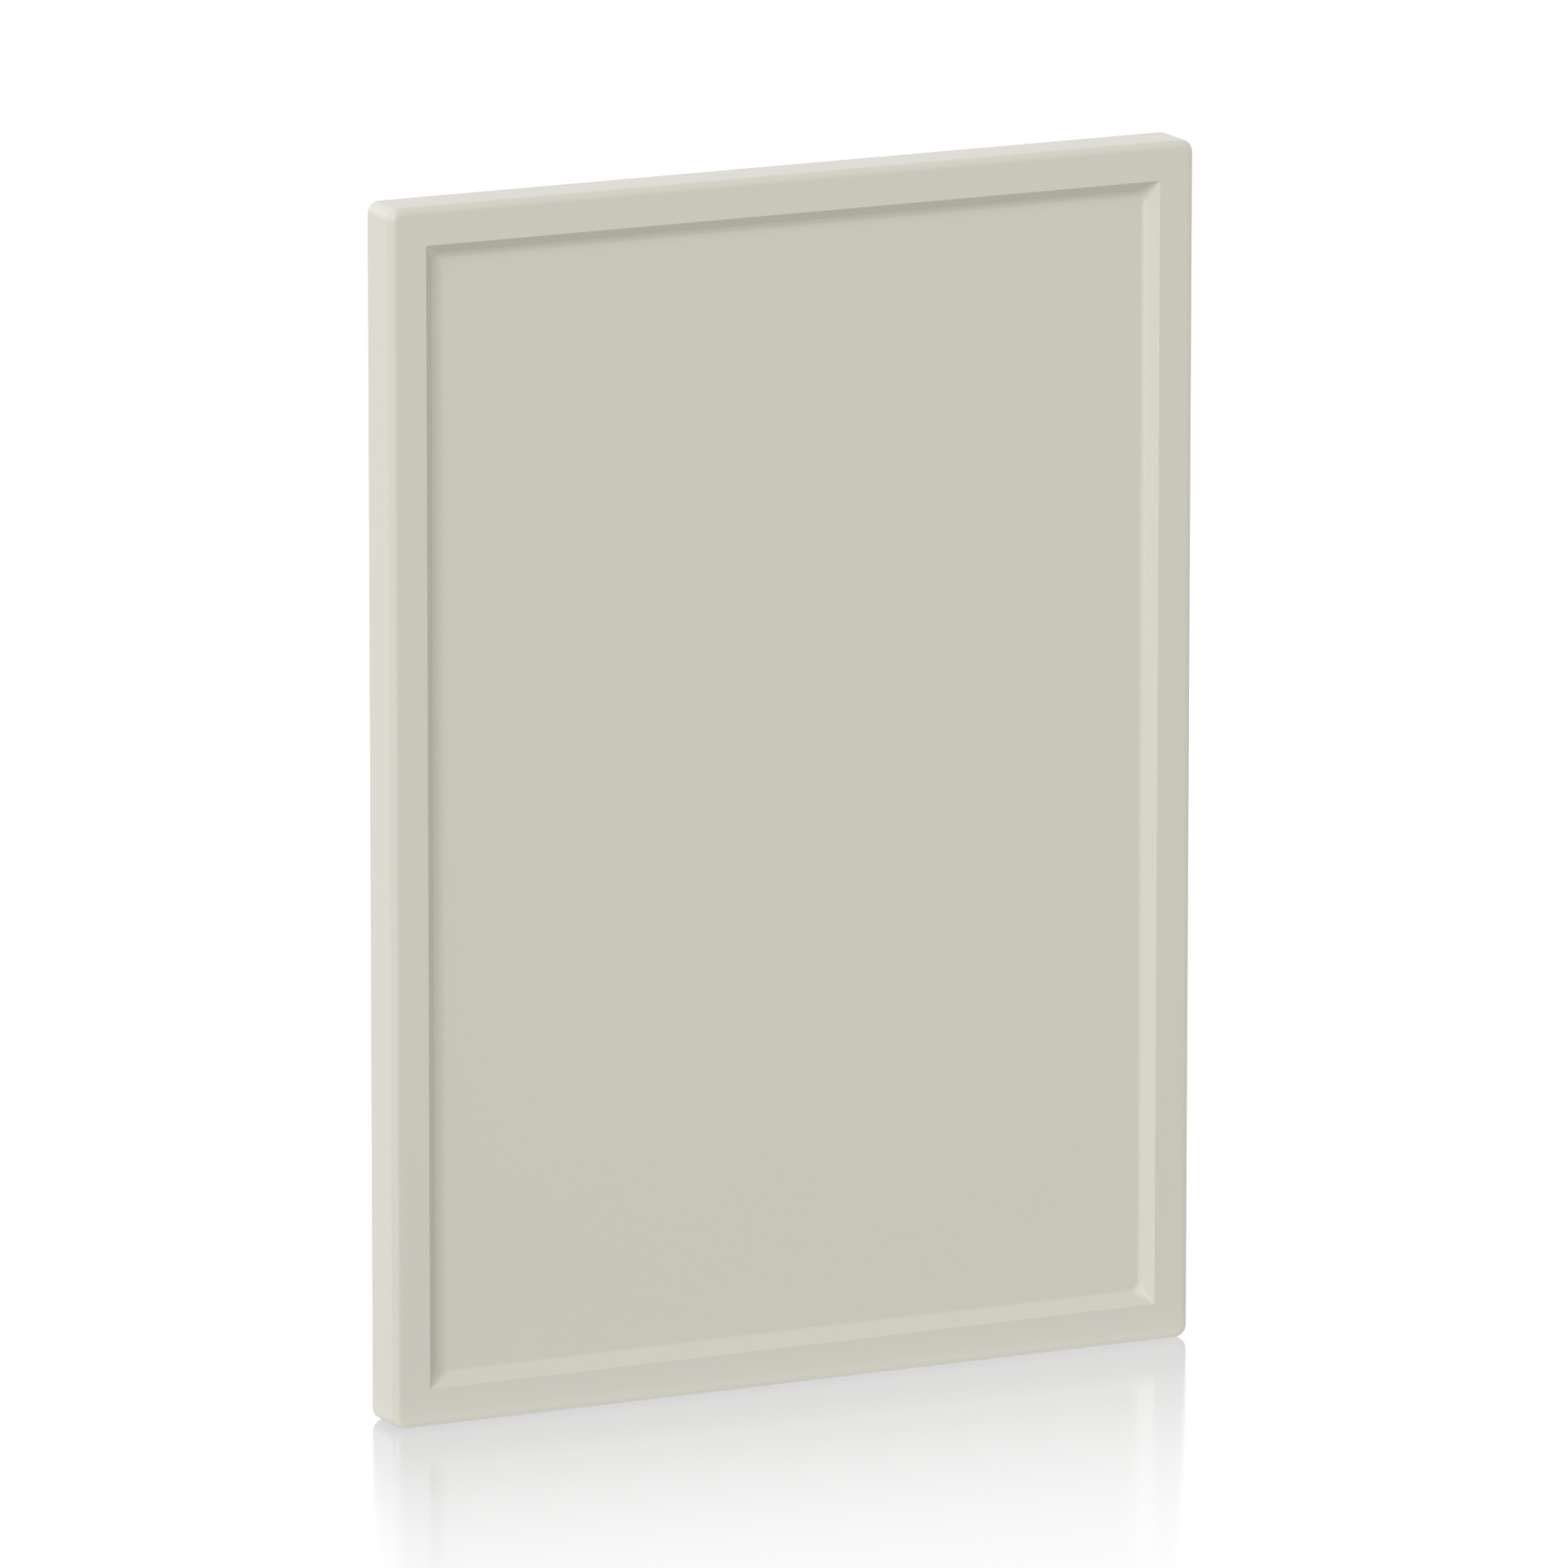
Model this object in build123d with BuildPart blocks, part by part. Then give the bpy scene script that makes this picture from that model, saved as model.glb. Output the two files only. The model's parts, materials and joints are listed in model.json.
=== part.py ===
from build123d import *
from math import radians, tan
import os

# A kitchen cabinet door, routed in one piece from fibreboard: a slim raised frame round a flat sunk panel.
# The origin is the middle of the bottom edge. +Z is up, the front faces -Y and +X is to the viewer's right.
# All sizes are millimetres and degrees.

# The board
door_width = 356.0
door_height = 496.0
door_thickness = 22.0
outline_corner_radius = 5.0
front_edge_radius = 3.0
back_edge_radius = 1.0

# The sunk panel and the moulding that leads down to it: a bevel, then a cove that runs out into the panel
frame_width = 15.6
panel_depth = 4.7
bevel_angle = 45.0
cove_radius = 3.0
mitre_corner_radius = 0.4
panel_corner_radius = 4.0

# Hinge drillings in the back, in the side that is on the left when the door is seen from the front
cup_diameter = 35.0
cup_depth = 12.5
cup_side_wall = 5.0
cup_end_distance = 100.0
dowel_hole_diameter = 8.0
dowel_hole_depth = 11.5
dowel_hole_spacing = 45.0
dowel_hole_setback = 9.5

# Seen from the back, the drawing plane's own x runs towards -X and its y runs up
front_plane = Plane.XZ.offset(door_thickness / 2)
panel_plane = front_plane.offset(-panel_depth)
back_plane = Plane(origin=(0, door_thickness / 2, 0), x_dir=(-1, 0, 0), z_dir=(0, 1, 0))

# The moulding's mouth is at the frame's face, and its foot is where the bevel would meet the panel
mouth_width = door_width - 2 * frame_width
mouth_height = door_height - 2 * frame_width
bevel_run = panel_depth / tan(radians(bevel_angle))
foot_width = mouth_width - 2 * bevel_run
foot_height = mouth_height - 2 * bevel_run
foot_corner_radius = panel_corner_radius + cove_radius * tan(radians(bevel_angle / 2))

cup_x = door_width / 2 - cup_side_wall - cup_diameter / 2
cup_spacing = door_height - 2 * cup_end_distance

with BuildPart() as door_panel:
    with BuildSketch(front_plane) as outline:
        with Locations((0, door_height / 2)):
            RectangleRounded(door_width, door_height, outline_corner_radius)
    extrude(amount=-door_thickness)

    # The routed recess, mitred at the frame's face and rounder towards the panel
    with BuildSketch(front_plane) as mouth:
        with Locations((0, door_height / 2)):
            RectangleRounded(mouth_width, mouth_height, mitre_corner_radius)
    with BuildSketch(panel_plane) as foot:
        with Locations((0, door_height / 2)):
            RectangleRounded(foot_width, foot_height, foot_corner_radius)
    loft(ruled=True, mode=Mode.SUBTRACT)
    panel_face = faces().filter_by(Axis.Y).sort_by(Axis.Y)[1]
    fillet(panel_face.edges(), radius=cove_radius)

    # The rounded front edge and the eased back edge
    front_face = faces().sort_by(Axis.Y)[0]
    fillet(front_face.outer_wire().edges(), radius=front_edge_radius)
    back_face = faces().sort_by(Axis.Y)[-1]
    fillet(back_face.edges(), radius=back_edge_radius)

    # A hinge cup near each end, each with its pair of dowel holes further in
    with Locations(back_plane):
        with Locations((cup_x, door_height / 2)):
            with GridLocations(0, cup_spacing, 1, 2):
                Hole(cup_diameter / 2, depth=cup_depth)
        with Locations((cup_x - dowel_hole_setback, door_height / 2)):
            with GridLocations(0, cup_spacing, 1, 2):
                with GridLocations(0, dowel_hole_spacing, 1, 2):
                    Hole(dowel_hole_diameter / 2, depth=dowel_hole_depth)

door_panel.part.label = "door_panel"

os.makedirs("parts", exist_ok=True)
export_step(door_panel.part, "parts/door_panel.step")
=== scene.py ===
import json
from math import cos, pi, radians, sin

import bpy
import numpy as np
from bpy.props import FloatProperty, FloatVectorProperty, PointerProperty
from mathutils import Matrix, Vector


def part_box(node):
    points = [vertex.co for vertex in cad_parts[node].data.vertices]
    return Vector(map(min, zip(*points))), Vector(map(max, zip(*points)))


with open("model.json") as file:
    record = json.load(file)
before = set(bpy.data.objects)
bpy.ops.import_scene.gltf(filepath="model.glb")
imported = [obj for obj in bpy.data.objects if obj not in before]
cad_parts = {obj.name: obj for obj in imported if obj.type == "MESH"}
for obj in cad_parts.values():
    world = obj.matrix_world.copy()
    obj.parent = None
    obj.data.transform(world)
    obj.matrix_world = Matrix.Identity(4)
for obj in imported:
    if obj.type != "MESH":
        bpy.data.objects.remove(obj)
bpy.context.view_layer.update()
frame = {"nodes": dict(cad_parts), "record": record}

bl_info = {
    "name": "Lacquered Cabinet Door",
    "version": (1, 0, 0),
    "blender": (4, 5, 0),
    "location": "View3D > Sidebar > Cabinet Door",
    "description": "Lacquers a routed cabinet door and stands it on a lit studio table",
    "category": "Object",
}

MILLIMETRE = 0.001
DOOR_LOW, DOOR_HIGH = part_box("door_panel")
PHOTO_SIDE = 1932
SENSOR_WIDTH = 36.0

# The white of the room and the table where they are looked at, their cooler white as lights, the share of
# each colour that the table mirrors, and the whites of the softboxes
WHITE = (1.0, 1.0, 1.0)
COOL_WHITE = (0.948, 0.922, 1.0)
MIRROR_WHITE = (0.850, 0.868, 0.976)
KEY_WHITE = (0.920, 0.932, 1.0)
FILL_WHITE = (0.955, 1.0, 0.84)
REAR_WHITE = (0.89, 0.875, 1.0)


# Settings

class LacquerSettings(bpy.types.PropertyGroup):
    """The colour and the film of the sprayed lacquer."""

    colour: FloatVectorProperty(
        name="Colour",
        description="Warm greige of the lacquer",
        subtype="COLOR",
        size=3,
        min=0.0,
        max=1.0,
        default=(0.575, 0.560, 0.471),
    )
    gloss_roughness: FloatProperty(
        name="Roughness",
        description="Roughness of the satin film",
        subtype="FACTOR",
        min=0.0,
        max=1.0,
        default=0.40,
    )
    mottle: FloatProperty(
        name="Mottle",
        description="How far the colour drifts from place to place, as a share of the colour",
        subtype="FACTOR",
        min=0.0,
        max=0.2,
        default=0.008,
    )
    peel_size: FloatProperty(
        name="Orange peel size",
        description="Width of one swelling of the sprayed film",
        unit="LENGTH",
        min=0.0001,
        default=2.2 * MILLIMETRE,
    )
    peel_height: FloatProperty(
        name="Orange peel height",
        description="Height of one swelling of the sprayed film",
        unit="LENGTH",
        min=0.0,
        default=0.006 * MILLIMETRE,
    )


class BoardSettings(bpy.types.PropertyGroup):
    """The raw fibreboard inside the hinge drillings."""

    pale: FloatVectorProperty(
        name="Pale fibre",
        description="Colour of the pale fibres",
        subtype="COLOR",
        size=3,
        min=0.0,
        max=1.0,
        default=(0.50, 0.34, 0.19),
    )
    dark: FloatVectorProperty(
        name="Dark fibre",
        description="Colour of the dark fibres and of the pores between them",
        subtype="COLOR",
        size=3,
        min=0.0,
        max=1.0,
        default=(0.24, 0.15, 0.08),
    )
    fibre_size: FloatProperty(
        name="Fibre size",
        description="Width of a clump of fibres",
        unit="LENGTH",
        min=0.0001,
        default=0.7 * MILLIMETRE,
    )


class StageSettings(bpy.types.PropertyGroup):
    """The table, the lights and the camera."""

    reflection: FloatProperty(
        name="Reflection at the door",
        description="Share of the table's surface that mirrors, right beside the door",
        subtype="FACTOR",
        min=0.0,
        max=1.0,
        default=0.72,
    )
    far_reflection: FloatProperty(
        name="Reflection far away",
        description="Share of the table's surface that mirrors, far from the door",
        subtype="FACTOR",
        min=0.0,
        max=1.0,
        default=0.27,
    )
    reflection_reach: FloatProperty(
        name="Reflection reach",
        description="Distance over which the mirrored share falls about two thirds of the way",
        unit="LENGTH",
        min=0.01,
        default=0.158,
    )
    reach_tilt: FloatProperty(
        name="Tilt of that reach",
        description="Share by which the reach is longer at the door's right edge and shorter at its left",
        subtype="FACTOR",
        min=0.0,
        max=0.9,
        default=0.12,
    )
    white: FloatProperty(
        name="White",
        description="Radiance of the room and the table where they are seen, a little above full white",
        min=1.0,
        default=1.18,
    )
    ambient: FloatProperty(
        name="Ambient light",
        description="Radiance of the white room as it lights the door",
        min=0.0,
        default=0.680,
    )
    table_glow: FloatProperty(
        name="Table glow",
        description="Radiance of the white table as it lights the door",
        min=0.0,
        default=0.575,
    )
    foot_glow: FloatProperty(
        name="Glow at the door's foot",
        description="Radiance that the table adds beside the door, so that no dark line stands under it",
        min=0.0,
        default=0.48,
    )
    foot_reach: FloatProperty(
        name="Reach of that glow",
        description="Distance over which the added radiance falls to about a third",
        unit="LENGTH",
        min=0.001,
        default=6.0 * MILLIMETRE,
    )
    key_strength: FloatProperty(
        name="Key light",
        description="Strength of the soft light above the camera's left",
        min=0.0,
        default=1.25,
    )
    fill_strength: FloatProperty(
        name="Fill light",
        description="Strength of the wide light beside the camera",
        min=0.0,
        default=0.87,
    )
    low_rear_strength: FloatProperty(
        name="Low rear light",
        description="Strength of the soft light low behind the door's left",
        min=0.0,
        default=1.00,
    )
    high_rear_strength: FloatProperty(
        name="High rear light",
        description="Strength of the soft light high behind the door's left",
        min=0.0,
        default=0.49,
    )
    side_strength: FloatProperty(
        name="Side light",
        description="Strength of the soft light level with the door, at its right side",
        min=0.0,
        default=1.00,
    )
    camera_azimuth: FloatProperty(
        name="Camera azimuth",
        description="Angle of the camera to the left of straight on",
        subtype="ANGLE",
        default=radians(25.887),
    )
    camera_elevation: FloatProperty(
        name="Camera elevation",
        description="Angle of the camera above level",
        subtype="ANGLE",
        default=radians(12.387),
    )
    camera_distance: FloatProperty(
        name="Camera distance",
        description="Distance from the camera to the middle of the door's front",
        unit="LENGTH",
        min=0.5,
        default=7.3775,
    )


# Shader building blocks

def feed(tree, value, socket):
    """Links value to the socket where value is a socket too, and sets it there otherwise."""
    if isinstance(value, bpy.types.NodeSocket):
        tree.links.new(value, socket)
    else:
        socket.default_value = value


def add_node(tree, kind, operation=None, **inputs):
    """A new node of that kind. Its inputs are fed by name, with _ for a space, or by number as in_0, in_1."""
    node = tree.nodes.new(kind)
    if operation:
        node.operation = operation
    for name, value in inputs.items():
        number = name.removeprefix("in_")
        feed(tree, value, node.inputs[int(number) if number.isdigit() else name.replace("_", " ")])
    return node


def math(tree, operation, *values):
    """The result of a Math node on one, two or three values."""
    inputs = {f"in_{number}": value for number, value in enumerate(values)}
    return add_node(tree, "ShaderNodeMath", operation, **inputs).outputs[0]


def mix_colour(tree, share, first, second):
    """A colour between first and second, by share."""
    node = add_node(tree, "ShaderNodeMix")
    node.data_type = "RGBA"
    for name, value in (("Factor_Float", share), ("A_Color", first), ("B_Color", second)):
        feed(tree, value, next(socket for socket in node.inputs if socket.identifier == name))
    return next(socket for socket in node.outputs if socket.identifier == "Result_Color")


def start_group(name, inputs, outputs):
    """An empty node group with those sockets, as (group, its input node, its output node)."""
    group = bpy.data.node_groups.new(name, "ShaderNodeTree")
    for title, kind, value in inputs:
        socket = group.interface.new_socket(title, in_out="INPUT", socket_type=kind)
        socket.default_value = value
    for title, kind in outputs:
        group.interface.new_socket(title, in_out="OUTPUT", socket_type=kind)
    return group, group.nodes.new("NodeGroupInput"), group.nodes.new("NodeGroupOutput")


def use_group(tree, group, **inputs):
    """A node of that group in tree, with its inputs fed by name, with _ for a space."""
    node = tree.nodes.new("ShaderNodeGroup")
    node.node_tree = group
    for name, value in inputs.items():
        feed(tree, value, node.inputs[name.replace("_", " ")])
    return node


def swing(tree, where, wavelength):
    """Noise from -0.5 to 0.5, with swellings about one wavelength wide."""
    noise = add_node(tree, "ShaderNodeTexNoise", Vector=where, Scale=1.0 / wavelength, Detail=2.0)
    return math(tree, "SUBTRACT", noise.outputs["Fac"], 0.5)


def opaque(colour):
    """A colour with its alpha."""
    return (*colour, 1.0)


# The lacquered board

def hinge_holes(record):
    """Every hole that the record's mounts state, as (x, z, radius) in metres, and the depth of the cups, the
    deepest of them."""
    holes = []
    for mount in record["mounts"]:
        x, _, z = mount["pos_m"]
        dims = mount["dims"]
        if mount["kind"] == "bore":
            cup_depth = dims["length_mm"] * MILLIMETRE
            holes.append((x, z, dims["r_mm"] * MILLIMETRE))
        if mount["kind"] == "bolt_pattern":
            half = dims["spacing_y_mm"] * MILLIMETRE / 2
            for side in (-half, half):
                holes.append((x, z + side, dims["hole_r_mm"] * MILLIMETRE))
    return holes, cup_depth


def drilling_group(holes, cup_depth):
    """A group that puts out a mask, 1 on the walls and bottoms of the holes and 0 elsewhere, and the distance
    from the nearest hole's axis."""
    skin = 0.1 * MILLIMETRE
    far_away = 1.0
    group, start, end = start_group(
        "Drillings",
        [("Place", "NodeSocketVector", (0, 0, 0))],
        [("Mask", "NodeSocketFloat"), ("Distance", "NodeSocketFloat")],
    )
    x, y, z = add_node(group, "ShaderNodeSeparateXYZ", Vector=start.outputs["Place"]).outputs
    behind = math(group, "GREATER_THAN", y, DOOR_HIGH.y - cup_depth - skin)
    inside = math(group, "LESS_THAN", y, DOOR_HIGH.y - skin / 2)
    mask = 0.0
    nearest = far_away
    for hole_x, hole_z, radius in holes:
        across = math(group, "SUBTRACT", x, hole_x)
        up = math(group, "SUBTRACT", z, hole_z)
        square = math(group, "MULTIPLY_ADD", across, across, math(group, "MULTIPLY", up, up))
        mask = math(group, "MAXIMUM", mask, math(group, "LESS_THAN", square, (radius + skin) ** 2))
        nearest = math(group, "MINIMUM", nearest, square)
    bored = math(group, "MULTIPLY", behind, inside)
    group.links.new(math(group, "MULTIPLY", mask, bored), end.inputs["Mask"])
    group.links.new(math(group, "SQRT", nearest), end.inputs["Distance"])
    return group


def lacquer_group():
    """A group for a sprayed film. Its colour and its gloss drift a little, and it swells like orange peel."""
    drift_size = 120.0 * MILLIMETRE
    grain_size = 1.2 * MILLIMETRE
    grain_share = 0.5
    cloud_size = 50.0 * MILLIMETRE
    cloud_share = 0.08
    group, start, end = start_group(
        "Sprayed lacquer",
        [
            ("Place", "NodeSocketVector", (0, 0, 0)),
            ("Colour", "NodeSocketColor", (0.5, 0.5, 0.5, 1)),
            ("Mottle", "NodeSocketFloat", 0.01),
            ("Roughness", "NodeSocketFloat", 0.45),
            ("Peel scale", "NodeSocketFloat", 500.0),
            ("Peel height", "NodeSocketFloat", 0.0),
        ],
        [("Colour", "NodeSocketColor"), ("Roughness", "NodeSocketFloat"), ("Height", "NodeSocketFloat")],
    )
    place = start.outputs["Place"]
    drift = swing(group, place, drift_size)
    grain = swing(group, place, grain_size)
    change = math(group, "MULTIPLY_ADD", grain, grain_share, drift)
    share = math(group, "MULTIPLY_ADD", change, start.outputs["Mottle"], 1.0)
    tinted = add_node(group, "ShaderNodeVectorMath", "SCALE", in_0=start.outputs["Colour"], Scale=share)
    group.links.new(tinted.outputs[0], end.inputs["Colour"])
    cloud = swing(group, place, cloud_size)
    roughness = math(group, "MULTIPLY_ADD", cloud, cloud_share, start.outputs["Roughness"])
    group.links.new(roughness, end.inputs["Roughness"])
    peel = add_node(group, "ShaderNodeTexNoise", Vector=place, Scale=start.outputs["Peel scale"], Detail=1.0)
    height = math(group, "MULTIPLY", peel.outputs["Fac"], start.outputs["Peel height"])
    group.links.new(height, end.inputs["Height"])
    return group


def fibre_group():
    """A group for bored fibreboard: pale and dark clumps of fibre, flat as they lie in the board, the rings
    that the cutter leaves round its axis, and the pit of its centre point."""
    flattening = (1.0, 2.5, 1.0)
    darkest = 0.35
    palest = 0.65
    fibre_height = 0.15 * MILLIMETRE
    ring_width = 0.9 * MILLIMETRE
    ring_height = 0.03 * MILLIMETRE
    pit_radius = 1.4 * MILLIMETRE
    pit_depth = 1.2 * MILLIMETRE
    group, start, end = start_group(
        "Cut fibreboard",
        [
            ("Place", "NodeSocketVector", (0, 0, 0)),
            ("Distance", "NodeSocketFloat", 0.0),
            ("Pale", "NodeSocketColor", (0.5, 0.3, 0.2, 1)),
            ("Dark", "NodeSocketColor", (0.2, 0.1, 0.1, 1)),
            ("Fibre scale", "NodeSocketFloat", 1000.0),
        ],
        [("Colour", "NodeSocketColor"), ("Height", "NodeSocketFloat")],
    )
    place = start.outputs["Place"]
    flattened = add_node(group, "ShaderNodeVectorMath", "MULTIPLY", in_0=place, in_1=flattening).outputs[0]
    clump = add_node(
        group,
        "ShaderNodeTexNoise",
        Vector=flattened,
        Scale=start.outputs["Fibre scale"],
        Detail=6.0,
        Roughness=0.7,
    ).outputs["Fac"]
    spread = add_node(group, "ShaderNodeMapRange", Value=clump, From_Min=darkest, From_Max=palest).outputs[0]
    colour = mix_colour(group, spread, start.outputs["Dark"], start.outputs["Pale"])
    group.links.new(colour, end.inputs["Colour"])
    distance = start.outputs["Distance"]
    rings = math(group, "SINE", math(group, "MULTIPLY", distance, 2 * pi / ring_width))
    fibres = math(group, "MULTIPLY", spread, fibre_height)
    relief = math(group, "MULTIPLY_ADD", rings, ring_height, fibres)
    pit = add_node(
        group, "ShaderNodeMapRange", Value=distance, From_Max=pit_radius, To_Min=-pit_depth, To_Max=0.0
    ).outputs[0]
    group.links.new(math(group, "ADD", relief, pit), end.inputs["Height"])
    return group


def lacquered_board_material(lacquer, board, holes, cup_depth):
    """Satin lacquer over the whole board, and bare fibreboard where the hinge holes go through it."""
    bare_roughness = 0.95
    lacquer_ior = 1.5
    material = bpy.data.materials.new("lacquered_board")
    material.use_nodes = True
    tree = material.node_tree
    shader = tree.nodes["Principled BSDF"]
    place = tree.nodes.new("ShaderNodeTexCoord").outputs["Object"]
    film = use_group(
        tree,
        lacquer_group(),
        Place=place,
        Colour=opaque(lacquer.colour),
        Mottle=lacquer.mottle,
        Roughness=lacquer.gloss_roughness,
        Peel_scale=1.0 / lacquer.peel_size,
        Peel_height=lacquer.peel_height,
    )
    drillings = use_group(tree, drilling_group(holes, cup_depth), Place=place)
    fibre = use_group(
        tree,
        fibre_group(),
        Place=place,
        Distance=drillings.outputs["Distance"],
        Pale=opaque(board.pale),
        Dark=opaque(board.dark),
        Fibre_scale=1.0 / board.fibre_size,
    )
    bare = drillings.outputs["Mask"]
    colour = mix_colour(tree, bare, film.outputs["Colour"], fibre.outputs["Colour"])
    roughness = add_node(tree, "ShaderNodeMix", Factor=bare, A=film.outputs["Roughness"], B=bare_roughness)
    height = add_node(tree, "ShaderNodeMix", Factor=bare, A=film.outputs["Height"], B=fibre.outputs["Height"])
    bump = add_node(tree, "ShaderNodeBump", Height=height.outputs["Result"], Distance=1.0, Strength=1.0)
    tree.links.new(colour, shader.inputs["Base Color"])
    tree.links.new(roughness.outputs["Result"], shader.inputs["Roughness"])
    tree.links.new(bump.outputs["Normal"], shader.inputs["Normal"])
    shader.inputs["IOR"].default_value = lacquer_ior
    return material


class CABINETDOOR_OT_lacquer_board(bpy.types.Operator):
    """Give the routed board its lacquer, and bare fibre in its hinge drillings"""

    bl_idname = "cabinetdoor.lacquer_board"
    bl_label = "Lacquer the board"

    def execute(self, context):
        scene = context.scene
        holes, cup_depth = hinge_holes(frame["record"])
        material = lacquered_board_material(scene.door_lacquer, scene.door_board, holes, cup_depth)
        frame["nodes"]["door_panel"].material_slots[0].material = material
        return {"FINISHED"}


# The stage

def flat_square(name, side):
    """A square in the floor's plane, side metres long: the point at (u, v) is (side * u, side * v, 0)."""
    u, v = np.meshgrid((-0.5, 0.5), (-0.5, 0.5))
    points = np.stack([side * u.ravel(), side * v.ravel(), np.zeros(4)], axis=1)
    mesh = bpy.data.meshes.new(name)
    mesh.from_pydata(points.tolist(), [], [(0, 1, 3, 2)])
    square = bpy.data.objects.new(name, mesh)
    bpy.context.scene.collection.objects.link(square)
    return square


def looked_at(tree):
    """1 for a ray from the camera or from a reflection, and 0 for a ray that lights something."""
    ray = tree.nodes.new("ShaderNodeLightPath").outputs
    return math(tree, "MAXIMUM", ray["Is Camera Ray"], ray["Is Glossy Ray"])


def studio_white(tree, kind, lighting, seen):
    """A glowing white: neutral and `seen` strong where it is looked at or mirrored, and cool and `lighting`
    strong as a light."""
    looks = looked_at(tree)
    strength = add_node(tree, "ShaderNodeMix", Factor=looks, A=lighting, B=seen)
    colour = mix_colour(tree, looks, opaque(COOL_WHITE), opaque(WHITE))
    return add_node(tree, kind, Color=colour, Strength=strength.outputs["Result"]).outputs[0]


def beyond(tree, coordinate, half):
    """How far a coordinate lies past half on either side of the middle, and 0 between the two."""
    past = math(tree, "SUBTRACT", math(tree, "ABSOLUTE", coordinate), half)
    return math(tree, "MAXIMUM", past, 0.0)


def table_material(stage):
    """A white table lit from inside. The share of it that mirrors falls with the distance from the door, as
    exp(-(distance / reach) ^ power), and so does the glow at the door's foot, as exp(-distance / reach)."""
    power = 1.25
    mirror_roughness = 0.14
    material = bpy.data.materials.new("lit_table")
    material.use_nodes = True
    tree = material.node_tree
    tree.nodes.clear()
    place = tree.nodes.new("ShaderNodeTexCoord").outputs["Object"]
    x, y, _ = add_node(tree, "ShaderNodeSeparateXYZ", Vector=place).outputs
    beside = beyond(tree, x, DOOR_HIGH.x)
    before = beyond(tree, y, DOOR_HIGH.y)
    square = math(tree, "MULTIPLY_ADD", beside, beside, math(tree, "MULTIPLY", before, before))
    distance = math(tree, "SQRT", square)
    reach = add_node(
        tree,
        "ShaderNodeMapRange",
        Value=x,
        From_Min=DOOR_LOW.x,
        From_Max=DOOR_HIGH.x,
        To_Min=(1.0 - stage.reach_tilt) * stage.reflection_reach,
        To_Max=(1.0 + stage.reach_tilt) * stage.reflection_reach,
    ).outputs["Result"]
    falling = math(tree, "POWER", math(tree, "DIVIDE", distance, reach), power)
    nearness = math(tree, "EXPONENT", math(tree, "MULTIPLY", falling, -1.0))
    added = stage.reflection - stage.far_reflection
    share = math(tree, "MULTIPLY_ADD", nearness, added, stage.far_reflection)
    share = math(tree, "MULTIPLY", share, looked_at(tree))
    foot = math(tree, "EXPONENT", math(tree, "MULTIPLY", distance, -1.0 / stage.foot_reach))
    lighting = math(tree, "MULTIPLY_ADD", foot, stage.foot_glow, stage.table_glow)
    white = studio_white(tree, "ShaderNodeEmission", lighting, stage.white)
    mirror = add_node(
        tree, "ShaderNodeBsdfAnisotropic", Color=opaque(MIRROR_WHITE), Roughness=mirror_roughness
    ).outputs[0]
    mixed = add_node(tree, "ShaderNodeMixShader", in_0=share, in_1=white, in_2=mirror)
    output = tree.nodes.new("ShaderNodeOutputMaterial")
    tree.links.new(mixed.outputs[0], output.inputs["Surface"])
    return material


def white_room(stage):
    """The world: white where it is seen or mirrored, and dimmer as a light."""
    world = bpy.data.worlds.new("white_room")
    bpy.context.scene.world = world
    world.use_nodes = True
    tree = world.node_tree
    tree.nodes.clear()
    white = studio_white(tree, "ShaderNodeBackground", stage.ambient, stage.white)
    output = tree.nodes.new("ShaderNodeOutputWorld")
    tree.links.new(white, output.inputs["Surface"])


def direction(azimuth, elevation):
    """The unit vector from the door towards something at that angle left of straight on, or right of it where
    the angle is negative, and above level."""
    return Vector((-sin(azimuth) * cos(elevation), -cos(azimuth) * cos(elevation), sin(elevation)))


def aim(thing, place, target):
    """Puts a light or a camera at place, looking at target, with its top up."""
    thing.location = place
    thing.rotation_euler = (target - place).to_track_quat("-Z", "Y").to_euler()


def far_softbox(name, colour, azimuth, elevation, width, strength, mirrored):
    """A soft light so far away that it is even all over the door. Its place and its width are angles in
    degrees. Gloss shows it only where mirrored is true."""
    distance = 3.0
    light = bpy.data.lights.new(name, "SUN")
    light.color = colour
    light.angle = radians(width)
    light.energy = strength
    softbox = bpy.data.objects.new(name, light)
    softbox.visible_glossy = mirrored
    bpy.context.scene.collection.objects.link(softbox)
    middle = (DOOR_LOW + DOOR_HIGH) / 2
    aim(softbox, middle + distance * direction(radians(azimuth), radians(elevation)), middle)


def photo_camera(stage):
    """The photograph's camera: a long lens in front of the door, to its left and a little above. Its focal
    length is in pixels of the photograph, and it is aimed beside the middle of the door's front."""
    lens_pixels = 22695.5
    aim_left = 5.385 * MILLIMETRE
    aim_up = 0.324 * MILLIMETRE
    roll = radians(0.036)
    camera = bpy.data.cameras.new("photo_camera")
    camera.sensor_width = SENSOR_WIDTH
    camera.lens = lens_pixels / PHOTO_SIDE * SENSOR_WIDTH
    holder = bpy.data.objects.new("photo_camera", camera)
    scene = bpy.context.scene
    scene.collection.objects.link(holder)
    target = Vector((-aim_left, DOOR_LOW.y, (DOOR_LOW.z + DOOR_HIGH.z) / 2 + aim_up))
    place = target + stage.camera_distance * direction(stage.camera_azimuth, stage.camera_elevation)
    aim(holder, place, target)
    holder.rotation_euler.rotate_axis("Z", roll)
    scene.camera = holder


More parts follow.
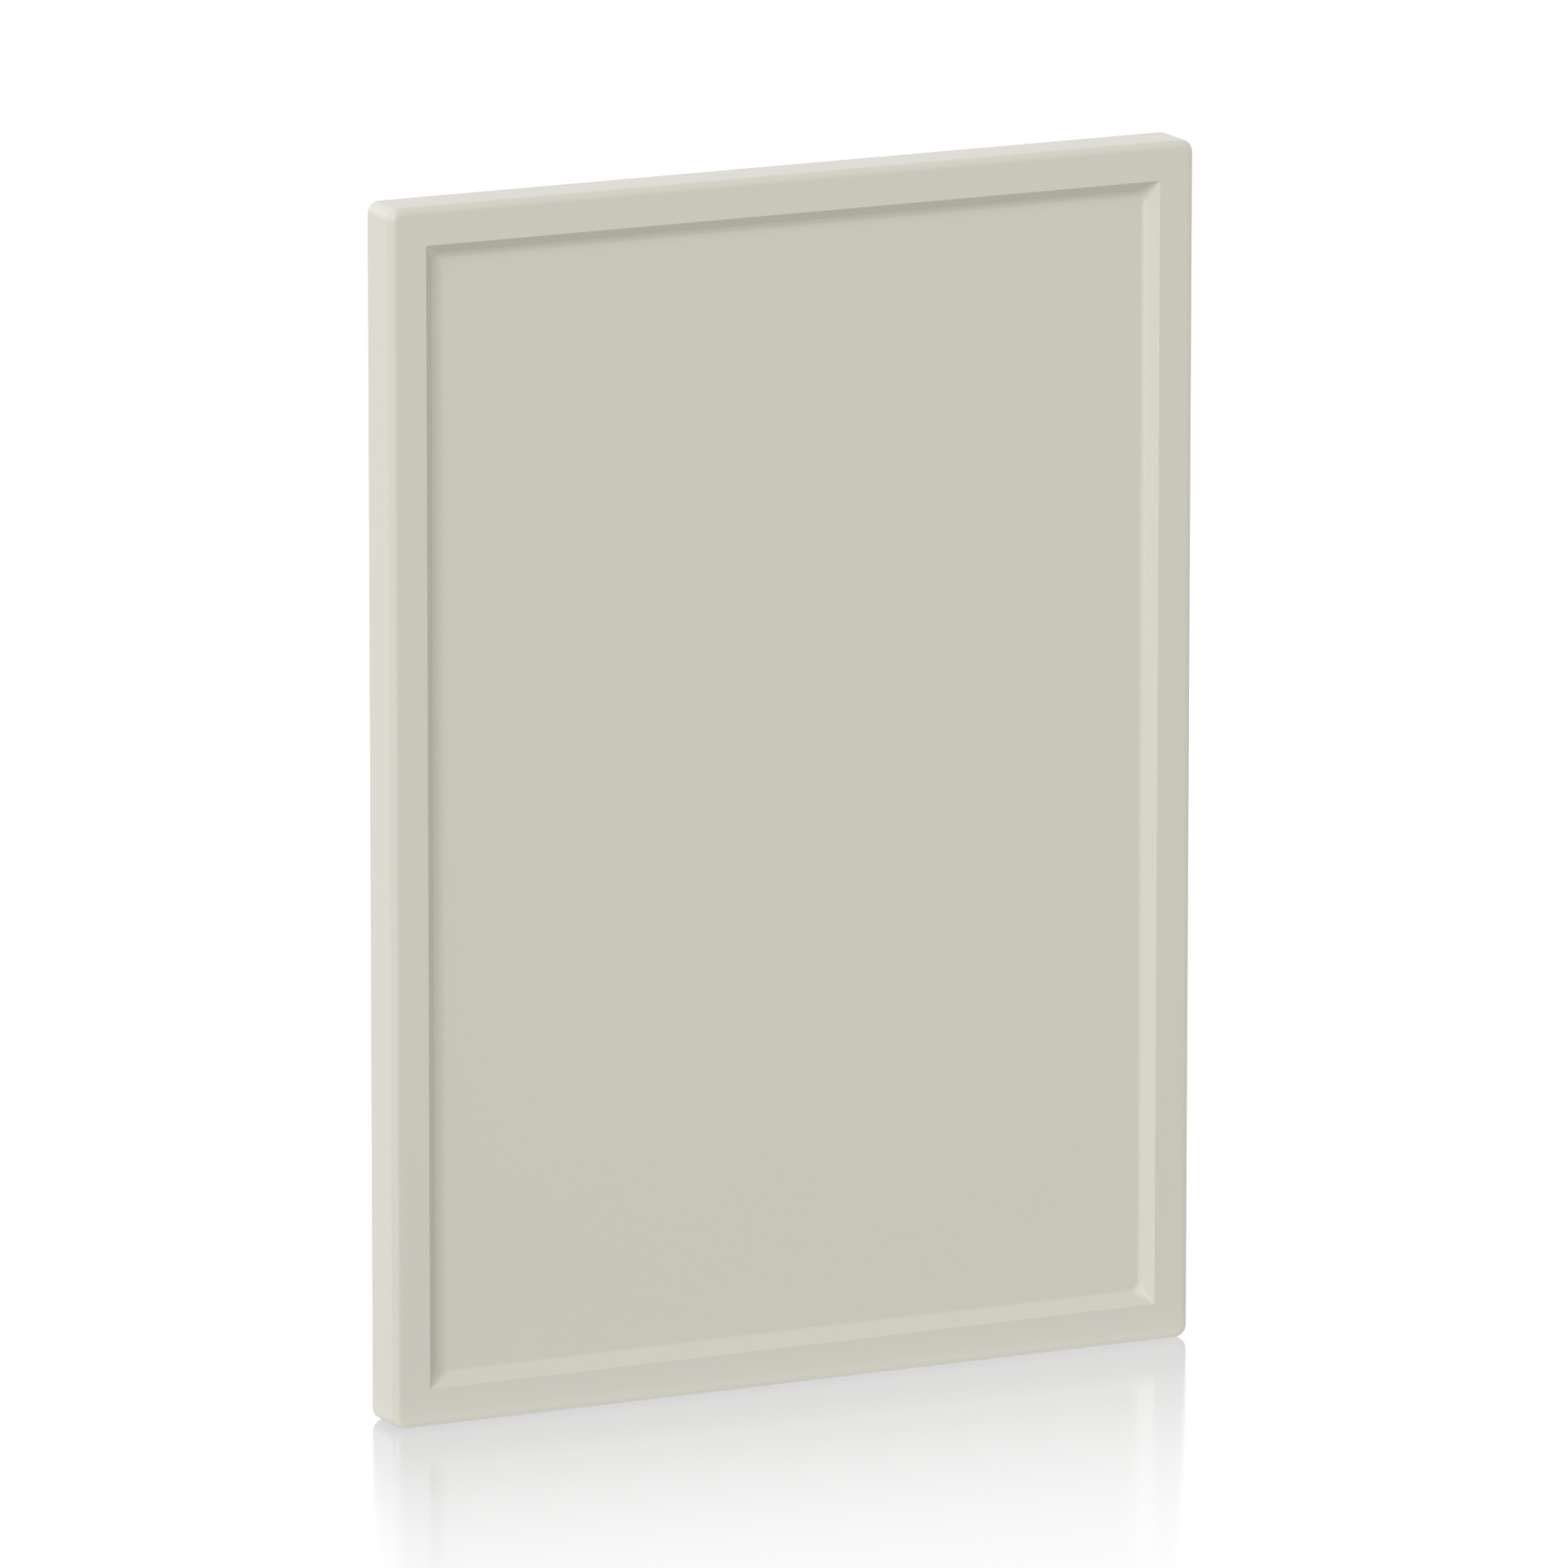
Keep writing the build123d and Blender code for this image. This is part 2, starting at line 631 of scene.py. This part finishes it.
class CABINETDOOR_OT_build_stage(bpy.types.Operator):
    """Build the lit table, the white room, the softboxes and the camera"""

    bl_idname = "cabinetdoor.build_stage"
    bl_label = "Build the stage"

    def execute(self, context):
        table_side = 12.0
        stage = context.scene.door_stage
        table = flat_square("table", table_side)
        table.data.materials.append(table_material(stage))
        white_room(stage)
        # Name, colour, azimuth, elevation, width, strength, and whether it is mirrored
        far_softbox("key_light", KEY_WHITE, 60.0, 34.0, 11.0, stage.key_strength, True)
        far_softbox("fill_light", FILL_WHITE, 29.0, 12.0, 30.0, stage.fill_strength, True)
        far_softbox("low_rear_light", REAR_WHITE, 152.0, 12.0, 28.0, stage.low_rear_strength, False)
        far_softbox("high_rear_light", REAR_WHITE, 152.0, 40.0, 28.0, stage.high_rear_strength, False)
        far_softbox("side_light", REAR_WHITE, -96.0, 4.0, 8.0, stage.side_strength, False)
        photo_camera(stage)
        context.scene.view_settings.view_transform = "Standard"
        return {"FINISHED"}


# The add-on

class CABINETDOOR_PT_panel(bpy.types.Panel):
    """Sizes, colours and steps of the cabinet door"""

    bl_idname = "CABINETDOOR_PT_panel"
    bl_label = "Cabinet Door"
    bl_space_type = "VIEW_3D"
    bl_region_type = "UI"
    bl_category = "Cabinet Door"

    def draw(self, context):
        layout = self.layout
        for settings in (context.scene.door_lacquer, context.scene.door_board, context.scene.door_stage):
            column = layout.column(align=True)
            for name in settings.__annotations__:
                column.prop(settings, name)
        layout.operator(CABINETDOOR_OT_lacquer_board.bl_idname)
        layout.operator(CABINETDOOR_OT_build_stage.bl_idname)


CLASSES = (
    LacquerSettings,
    BoardSettings,
    StageSettings,
    CABINETDOOR_OT_lacquer_board,
    CABINETDOOR_OT_build_stage,
    CABINETDOOR_PT_panel,
)


def register():
    for cls in CLASSES:
        bpy.utils.register_class(cls)
    bpy.types.Scene.door_lacquer = PointerProperty(type=LacquerSettings)
    bpy.types.Scene.door_board = PointerProperty(type=BoardSettings)
    bpy.types.Scene.door_stage = PointerProperty(type=StageSettings)


def unregister():
    del bpy.types.Scene.door_stage
    del bpy.types.Scene.door_board
    del bpy.types.Scene.door_lacquer
    for cls in reversed(CLASSES):
        bpy.utils.unregister_class(cls)


def main():
    register()
    bpy.ops.cabinetdoor.lacquer_board()
    bpy.ops.cabinetdoor.build_stage()


if __name__ == "__main__":
    main()
